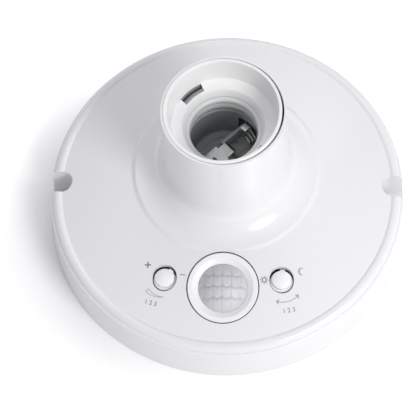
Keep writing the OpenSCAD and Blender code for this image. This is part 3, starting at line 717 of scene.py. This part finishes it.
# a flange under each knob's cap, just below the face
knobFlange = {"inner": 2.6 * mm, "outer": 4.2 * mm, "down": 1.7 * mm, "thick": 0.7 * mm}
for flangeName, body, x in (("timeFlange", "time_dial", -21.4 * mm), ("lightFlange", "lux_dial", 21.4 * mm)):
    y = -40.2 * mm
    top = faceHeight(x, y) - knobFlange["down"]
    inner, outer, thick = knobFlange["inner"], knobFlange["outer"], knobFlange["thick"]
    ringOf(flangeName, (x, y),
           [(inner, top - thick), (outer - 0.1 * mm, top - thick), (outer, top - thick + 0.1 * mm),
            (outer, top - 0.1 * mm), (outer - 0.1 * mm, top), (inner, top)],
           "knob_white", body, 72)

# the lens: rows and columns of small bulging facets on a ball, square to the domed face
lens = {
    "ball": 11.05 * mm,
    "rim": 9.0 * mm,
    "top": 2.98 * mm,
    "rows": (-9.6, -4.3, -0.1, 4.1, 9.6),
    "columns": (-10.2, -7.0, -3.7, -0.5, 3.0, 6.4, 10.0),
    "wave": 0.28,
    "bulge": 0.40 * mm,
    "grid": 112,
}


def acrossCell(value, edges):
    # from -1 to 1 across the facet that the value lies in
    for low, high in zip(edges, edges[1:]):
        if value <= high:
            return (2 * value - low - high) / (high - low)
    return 1.0


deselectAll()
bpy.ops.mesh.primitive_grid_add(x_subdivisions=lens["grid"], y_subdivisions=lens["grid"], size=2)
dome = openMesh("facetLens")
closeMesh()
for vertex in dome.data.vertices:
    u, v = vertex.co.x, vertex.co.y
    x = lens["rim"] * u * math.sqrt(1 - v * v / 2)
    y = lens["rim"] * v * math.sqrt(1 - u * u / 2)
    column = acrossCell(x / mm, lens["columns"])
    row = acrossCell(y / mm + lens["wave"] * math.cos(math.pi * column), lens["rows"])
    valley = 0.45 * abs(column) ** 6 + abs(row) ** 5
    edge = min(1, (lens["rim"] - math.hypot(x, y)) / (0.8 * mm))
    height = math.sqrt(lens["ball"] ** 2 - x * x - y * y) - lens["ball"] + lens["top"]
    vertex.co = (x, y, height - lens["bulge"] * min(1, valley) * max(0, edge))
dome.select_set(True)
bpy.context.view_layer.objects.active = dome
shell = dome.modifiers.new("shell", "SOLIDIFY")
shell.thickness = 0.7 * mm
shell.offset = -1
bpy.ops.object.modifier_apply(modifier="shell")
dome.matrix_world = Matrix.Translation(Vector(seat["place"])) @ Matrix.Rotation(math.radians(seat["tilt"]), 4, "X")
bpy.ops.object.transform_apply(location=True, rotation=True, scale=True)
bpy.ops.object.mode_set(mode="EDIT")
finishMesh(dome, "lens_milky", "holder", 60)
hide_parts("sensor_lens")

print("stage: floor and light")
studio = {
    "floorSize": 3.0,
    "floorColour": (0.86, 0.86, 0.865),
    "world": (0.975, 0.96, 0.99),
    "worldStrength": 0.545,
    "floorGlow": ((0.21, 0.21, 0.21), (0.49, 0.49, 0.49)),
    "glowFrom": (-20 * mm, 60 * mm),
    "farGlow": (0.9, 0.9, 0.9),
    "farFrom": (110 * mm, 300 * mm),
    "shadeMiddle": (-22 * mm, -4 * mm, 0),
    "shadeFrom": (44 * mm, 68 * mm),
    "lamps": {
        "keyLamp": {"place": (0.44, -0.45, 0.51), "size": 0.32, "power": 3.6, "colour": (1.0, 0.995, 0.985)},
        "rearLamp": {"place": (0.08, 0.78, 0.80), "size": 0.8, "power": 2.0, "colour": (0.985, 0.975, 1.0)},
    },
}


def seenDirectly(finish):
    # one for what the camera, gloss and clear plastic see, and nothing for the rays that carry light
    seen = finish.node("ShaderNodeLightPath", out="Is Camera Ray")
    seen = seen + finish.node("ShaderNodeLightPath", out="Is Glossy Ray")
    return (seen + finish.node("ShaderNodeLightPath", out="Is Transmission Ray")).clamped()


bpy.ops.mesh.primitive_grid_add(x_subdivisions=8, y_subdivisions=8, size=studio["floorSize"], location=(0, 0, -0.0002))
floor = bpy.context.active_object
floor.name = "studioFloor"
floorFinish = Finish("floorPaper")
seen = seenDirectly(floorFinish)
paper = floorFinish.noise(3 * mm, 3.0)
floorShade = floorFinish.shader(Base_Color=floorFinish.mix(paper, studio["floorColour"],
                                                           tuple(c * 0.985 for c in studio["floorColour"])),
                                Roughness=0.9, Emission_Color=(1.0, 1.0, 1.0), Emission_Strength=0.0)
# painted light: what the camera sees of the floor glows, more behind the object where it washes out the shadow, and
# fully far away
behind = floorFinish.node("ShaderNodeSeparateXYZ", {}, {0: floorFinish.place()}, out="Y")
behind = ((behind - studio["glowFrom"][0]) / (studio["glowFrom"][1] - studio["glowFrom"][0])).clamped()
away = floorFinish.node("ShaderNodeVectorMath", {"operation": "LENGTH"}, {0: floorFinish.place()}, out="Value")
away = ((away - studio["farFrom"][0]) / (studio["farFrom"][1] - studio["farFrom"][0])).clamped()
glowColour = floorFinish.mix(away, floorFinish.mix(behind, *studio["floorGlow"]), studio["farGlow"])
# painted shadow: close to the object's left the floor doesn't glow, so the shadow there is deeper
near = floorFinish.node("ShaderNodeVectorMath", {"operation": "DISTANCE"},
                        {0: floorFinish.place(), 1: studio["shadeMiddle"]}, out="Value")
near = ((near - studio["shadeFrom"][0]) / (studio["shadeFrom"][1] - studio["shadeFrom"][0])).clamped()
glowColour = floorFinish.mix(near, (0.0, 0.0, 0.0), glowColour)
glow = floorFinish.node("ShaderNodeEmission", {}, {"Color": glowColour})
both = floorFinish.node("ShaderNodeAddShader", {}, {0: floorShade, 1: glow})
mixed = floorFinish.node("ShaderNodeMixShader", {}, {0: seen, 1: floorShade, 2: both})
floorFinish.tree.links.new(mixed.socket, floorFinish.out.inputs["Surface"])
floor.data.materials.append(floorFinish.material)



class Surround(Finish):  # the world, built with the same node helper
    def __init__(self, name):
        self.world = bpy.data.worlds.new(name)
        self.world.use_nodes = True
        self.tree = self.world.node_tree
        self.tree.nodes.clear()
        self.out = self.tree.nodes.new("ShaderNodeOutputWorld")
        self.placed = 0


surround = Surround("studioWorld")
lit = surround.node("ShaderNodeBackground", {}, {"Color": studio["world"], "Strength": studio["worldStrength"]})
white = surround.node("ShaderNodeBackground", {}, {"Color": (1.0, 1.0, 1.0), "Strength": 1.0})
chosen = surround.node("ShaderNodeMixShader", {}, {0: seenDirectly(surround), 1: lit, 2: white})
surround.tree.links.new(chosen.socket, surround.out.inputs["Surface"])
scene.world = surround.world

for lampName, lamp in studio["lamps"].items():
    data = bpy.data.lights.new(lampName, "AREA")
    data.shape = "DISK"
    data.size = lamp["size"]
    data.energy = lamp["power"]
    data.color = lamp["colour"]
    light = bpy.data.objects.new(lampName, data)
    light.location = lamp["place"]
    light.rotation_euler = (Vector((0, 0, 0.02)) - Vector(lamp["place"])).to_track_quat("-Z", "Y").to_euler()
    scene.collection.objects.link(light)

print("stage: finish")
